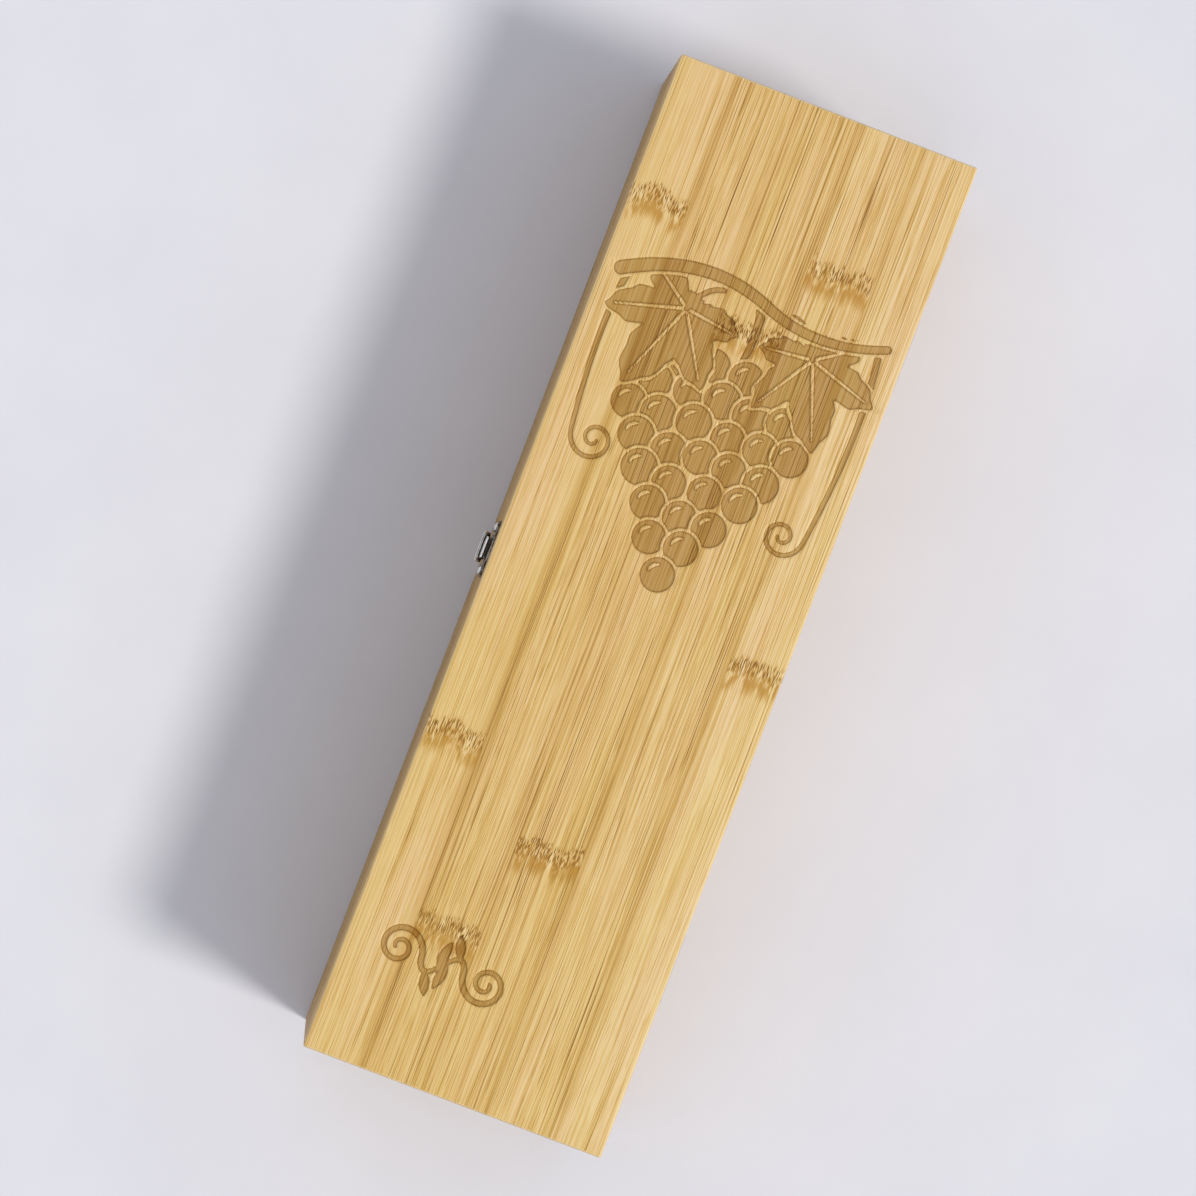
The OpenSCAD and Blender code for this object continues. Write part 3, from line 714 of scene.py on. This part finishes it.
def over(behind, front):
    """front laid over behind: behind is cut back to SHADOW_GAP from it, and then the two are joined."""
    return np.minimum(np.maximum(behind, SHADOW_GAP - front), front)


def grape(right, down, at, radius):
    """A disc, less a short thin arc near its upper left, which is left bare as its shine."""
    angle = np.radians(np.linspace(188, 262, 14))
    arc = np.stack([at[0] + 0.58 * radius * np.cos(angle), at[1] + 0.58 * radius * np.sin(angle)], axis=1)
    shine = stroke(right, down, arc, 0.12 + 0.40 * np.sin(np.linspace(0.3, 2.9, 14)))
    return np.maximum(disc(right, down, at, radius), -shine)


def vine(right, down):
    """A bunch of grapes, two leaves in front of it, a cane across the top of both, and two tendrils."""
    burnt = stroke(right, down, bow((2, -106), (5, -96), (1, -80)), np.linspace(1.7, 1.1, 60))
    for hanging, spiral in (
        (bow((-43, -103), (-47, -84), (-42.5, -46), 150), curl((-34.5, -46), 8.0, 1.2, 180, -520)),
        (bow((44, -104), (48, -78), (42.5, -38), 150), curl((35.0, -38), 7.5, 1.2, 0, 520)),
    ):
        tendril = np.concatenate([hanging, spiral])
        burnt = np.minimum(burnt, stroke(right, down, tendril, np.linspace(1.25, 0.6, len(tendril))))
    pitch = 11.4  # mm from grape to grape
    for row, count in enumerate((4, 5, 6, 5, 4, 3, 2, 1)):
        for n in range(count):
            x = 0.5 + (n - (count - 1) / 2) * pitch + 0.9 * math.sin(5 * n + 3 * row)
            y = -82.0 + row * pitch * 0.88 + 0.9 * math.cos(4 * n + 7 * row)
            burnt = over(burnt, grape(right, down, (x, y), 6.0 + 0.25 * math.sin(11 * n + 5 * row)))
    for root, angle, size in (((-21, -97), 112, 33), ((24, -96), 70, 31)):
        stalk = stroke(right, down, bow((root[0] * 0.55, -107), (root[0] * 0.85, -106), root), 1.0)
        burnt = over(burnt, np.minimum(stalk, vine_leaf(right, down, root, angle, size)))
    cane = np.concatenate([bow((-46, -102), (-20, -117), (4, -107)), bow((4, -107), (24, -99), (46, -108))])
    return over(burnt, stroke(right, down, cane, np.linspace(2.5, 1.5, 120)))


def scroll(right, down):
    """Two spirals joined in a long S, with two small leaves, the same when turned half round."""
    burnt = np.full(right.shape, 1e9)
    for turn in (1, -1):
        x, y = turn * (right + 19.0), turn * (down - 134.0)
        spiral = curl((-15.5, -1.0), 8.0, 1.4, 0, -560)
        stem = bow((-7.5, -1.0), (-6.5, 8.0), (0, 0))
        burnt = np.minimum(burnt, stroke(x, y, spiral, np.linspace(1.2, 0.7, len(spiral))))
        burnt = np.minimum(burnt, stroke(x, y, stem, np.linspace(1.2, 0.8, len(stem))))
        burnt = np.minimum(burnt, lobe(x, y, (-5.0, 3.2), 72, 9.0, 3.6))
        burnt = np.minimum(burnt, lobe(x, y, (-1.6, 1.2), -78, 10.0, 3.6))
    return burnt


# %% [markdown]
# The sheet's grid lines stand 0.5 mm apart where there is something to cut and far apart
# elsewhere. Round the edge, rings carry it over the eased corner and down to the rails, and
# one flat face closes it below.

# %% The engraved lid board
EASE = 0.8  # mm, the rounding of the lid's edges
DEPTH = 0.55  # mm, how deep the burn goes
STEP = 0.5  # mm between grid lines where there is something to cut, and twelve times that elsewhere
FAR = 4.0  # mm, the farthest from the ornament's edge that the attribute tells
BURN_FROM, BURN_FULL = 0.2, -0.4  # mm, the distance at which the burn begins, and is at full depth


def lid_board(low, high, bands):
    """The lid's board as one closed surface.

    The top is z = high - DEPTH * s, where s goes from 0 to 1 as the distance to the
    ornament's edge goes from BURN_FROM to BURN_FULL. An outline divided by its own slope
    is a true distance near its edge. A ring of the eased corner is at
    core + EASE * sin(angle) * outward, EASE * (1 - cos(angle)) below the top.
    """
    def lines(lo, hi, dense):
        marks = [np.linspace(lo, hi, max(2, int((hi - lo) / (12 * STEP))))]
        for start, stop in dense:
            marks[0] = marks[0][(marks[0] < start - 0.6) | (marks[0] > stop + 0.6)]
            marks.append(np.arange(start, stop + 0.01, STEP))
        return np.unique(np.round(np.concatenate(marks), 4))

    xs = lines(low[0] + EASE, high[0] - EASE, bands)
    ys = lines(low[1] + EASE, high[1] - EASE, [(-48.0, 48.0)])
    down, right = np.meshgrid(xs, ys, indexing="ij")
    outline = np.minimum(vine(right, down), scroll(right, down))
    slope = np.hypot(*np.gradient(outline, xs, ys))
    cut = np.clip(outline / np.clip(slope, 0.35, None), -FAR, FAR)
    sunk = DEPTH * np.clip((BURN_FROM - cut) / (BURN_FROM - BURN_FULL), 0, 1)
    top = np.stack([down, right, high[2] - sunk], axis=-1).reshape(-1, 3)
    index = np.arange(len(xs) * len(ys)).reshape(len(xs), len(ys))
    quads = np.stack([index[:-1, :-1], index[1:, :-1], index[1:, 1:], index[:-1, 1:]], axis=-1)

    arc = np.radians(np.linspace(0, 90, 6))
    sides = [index[:, 0], index[-1, :], index[::-1, -1], index[0, ::-1]]
    edge, outward = [], []
    for turn, side in enumerate(sides):
        face = math.radians(-90 + 90 * turn)
        edge += [side, np.full(len(arc) - 2, side[-1])]
        outward += [np.tile([math.cos(face), math.sin(face)], (len(side), 1)),
                    np.stack([np.cos(face + arc[1:-1]), np.sin(face + arc[1:-1])], axis=1)]
    edge, outward = np.concatenate(edge), np.concatenate(outward)
    core = top[edge]
    rings = []
    for angle in arc[1:]:
        flat = core[:, :2] + EASE * math.sin(angle) * outward
        rings.append(np.column_stack([flat, np.full(len(flat), high[2] - EASE * (1 - math.cos(angle)))]))
    rings.append(np.column_stack([rings[-1][:, :2], np.full(len(core), low[2])]))
    points = np.concatenate([top] + rings)
    loops = [edge] + [len(top) + n * len(edge) + np.arange(len(edge)) for n in range(len(rings))]
    walls = [np.stack([a, b, np.roll(b, -1), np.roll(a, -1)], axis=1) for a, b in zip(loops[:-1], loops[1:])]
    faces = np.concatenate([quads.reshape(-1, 4)] + walls)
    faces = [tuple(dict.fromkeys(face)) for face in faces.tolist()] + [tuple(loops[-1][::-1].tolist())]
    marks = np.concatenate([cut.reshape(-1), np.full(len(points) - len(top), FAR)])
    return points, faces, marks


def solid_piece(name, points, faces, material):
    """A new piece from points in millimetres. Its object stays at the origin."""
    mesh = bpy.data.meshes.new(name)
    mesh.from_pydata((np.asarray(points) / 1000).tolist(), [], faces)
    mesh.validate()
    mesh.materials.append(material)
    mesh.shade_smooth()
    mesh.set_sharp_from_angle(angle=math.radians(40))
    piece = bpy.data.objects.new(name, mesh)
    bpy.context.scene.collection.objects.link(piece)
    return piece


low, high = (1000 * np.array(corner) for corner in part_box("lid_panel"))
points, faces, marks = lid_board(low, high, [(-116.0, 14.0), (121.0, 147.0)])
lid_board_piece = solid_piece("engraved_lid_board", points, faces, lid_bamboo)
cut_attribute = lid_board_piece.data.attributes.new("cut", "FLOAT", "POINT")
cut_attribute.data.foreach_set("value", marks.astype(np.float32))
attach(lid_board_piece, "lid")
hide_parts("lid_panel")
print("lid board:", len(points), "points,", len(faces), "faces")

# %% [markdown]
# ## Plated and brushed steel
#
# The clasp and the hinge leaves are stamped steel with a bright nickel plating, and the pins
# are bare steel wire. Metal is all reflection, so its colour hardly matters and its roughness
# does. Nickel is a warm grey, smooth but never perfect: faint cloudy patches and fine hairlines
# from handling. The corners, which the Ambient Occlusion node finds, are painted dark brown:
# painted shade, in a brown that also stands for tarnish and dust that no cloth reaches. The
# clasp's loop is plated too, but satin, so that it stays pale from every side. Wire is drawn
# through a die, so its marks run along it.

# %% Metals
# The dark brown of the painted shade in corners, which also stands for tarnish.
TARNISH_AND_SHADE = (0.050, 0.036, 0.024)


def plated(name, colour, low, high, seed):
    """Nickel plating, with cloudy roughness from low to high, scratches, dents, and painted shade and
    tarnish in corners.
    """
    r = Recipe(name)
    at, _ = r.place()
    x, y, z = at["X"], at["Y"], at["Z"]
    cloud = r.noise(*(r.times(place, 0.9) for place in (x, y, z)), detail=3.0, roughness=0.6)
    dent = r.noise(*(r.times(place, 0.45) for place in (x, y, z)), detail=1.0)
    hair = r.noise(r.times(x, 1.3), r.plus(float(seed), y, 14.0), r.times(z, 9.0))
    open_air = r.nodes.new("ShaderNodeAmbientOcclusion")
    open_air.samples = 8
    open_air.inputs["Distance"].default_value = 0.003
    # Corners that ambient occlusion finds turn dark brown: painted shade, in a brown that also stands for
    # tarnish.
    corner = r.between(r.swing(cloud, 0.5, open_air.outputs["AO"]), 0.95, 0.42)
    tint = r.ramp(cloud, [(0.3, tuple(0.85 * c for c in colour)), (0.65, colour)])
    shine = r.between(cloud, 0.3, 0.7, low, high, smooth=False)
    shine = r.plus(shine, corner, 0.25)
    r.bump(r.plus(r.times(hair, 0.15), dent, 1.4), 0.00002, 1.0)
    return r.finish(Base_Color=r.mix(corner, tint, TARNISH_AND_SHADE), Metallic=1.0, Roughness=shine)


def drawn_wire(name):
    """Bare steel wire, drawn along X: hairlines stretched 40 to 1."""
    r = Recipe(name)
    at, _ = r.place()
    hair = r.noise(r.times(at["X"], 0.4), r.times(at["Y"], 16.0), r.times(at["Z"], 16.0))
    tint = r.ramp(hair, [(0.3, (0.36, 0.35, 0.34)), (0.7, (0.56, 0.55, 0.53))])
    r.bump(hair, 0.00003, 0.5)
    return r.finish(Base_Color=tint, Metallic=1.0, Roughness=r.between(hair, 0.3, 0.7, 0.28, 0.45))


NICKEL = ["clasp_base", "clasp_keeper", "neck_hinge_box_leaf", "neck_hinge_lid_leaf",
          "base_hinge_box_leaf", "base_hinge_lid_leaf"]
bright_nickel = plated("bright_nickel", (0.82, 0.80, 0.77), 0.06, 0.16, 0)
lever_nickel = plated("lever_nickel", (0.84, 0.82, 0.80), 0.05, 0.13, 5)
loop_nickel = plated("loop_nickel", (0.86, 0.83, 0.79), 0.20, 0.32, 3)
screw_nickel = plated("screw_nickel", (0.76, 0.74, 0.71), 0.10, 0.22, 9)
steel_wire = drawn_wire("steel_wire")
for node in NICKEL:
    paint(node, bright_nickel)
paint("clasp_lever", lever_nickel)
paint("clasp_loop", loop_nickel)
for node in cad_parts:
    if node.endswith("_screws"):
        paint(node, screw_nickel)
    if node.endswith("_pin"):
        paint(node, steel_wire)
print("metal on", len(NICKEL) + 1, "plates, the loop, the screws and the pins")

# %% [markdown]
# ## Standard colours and the end
#
# The plain Standard view shows a colour as it is written.

# %% Finish
bpy.context.scene.view_settings.view_transform = "Standard"
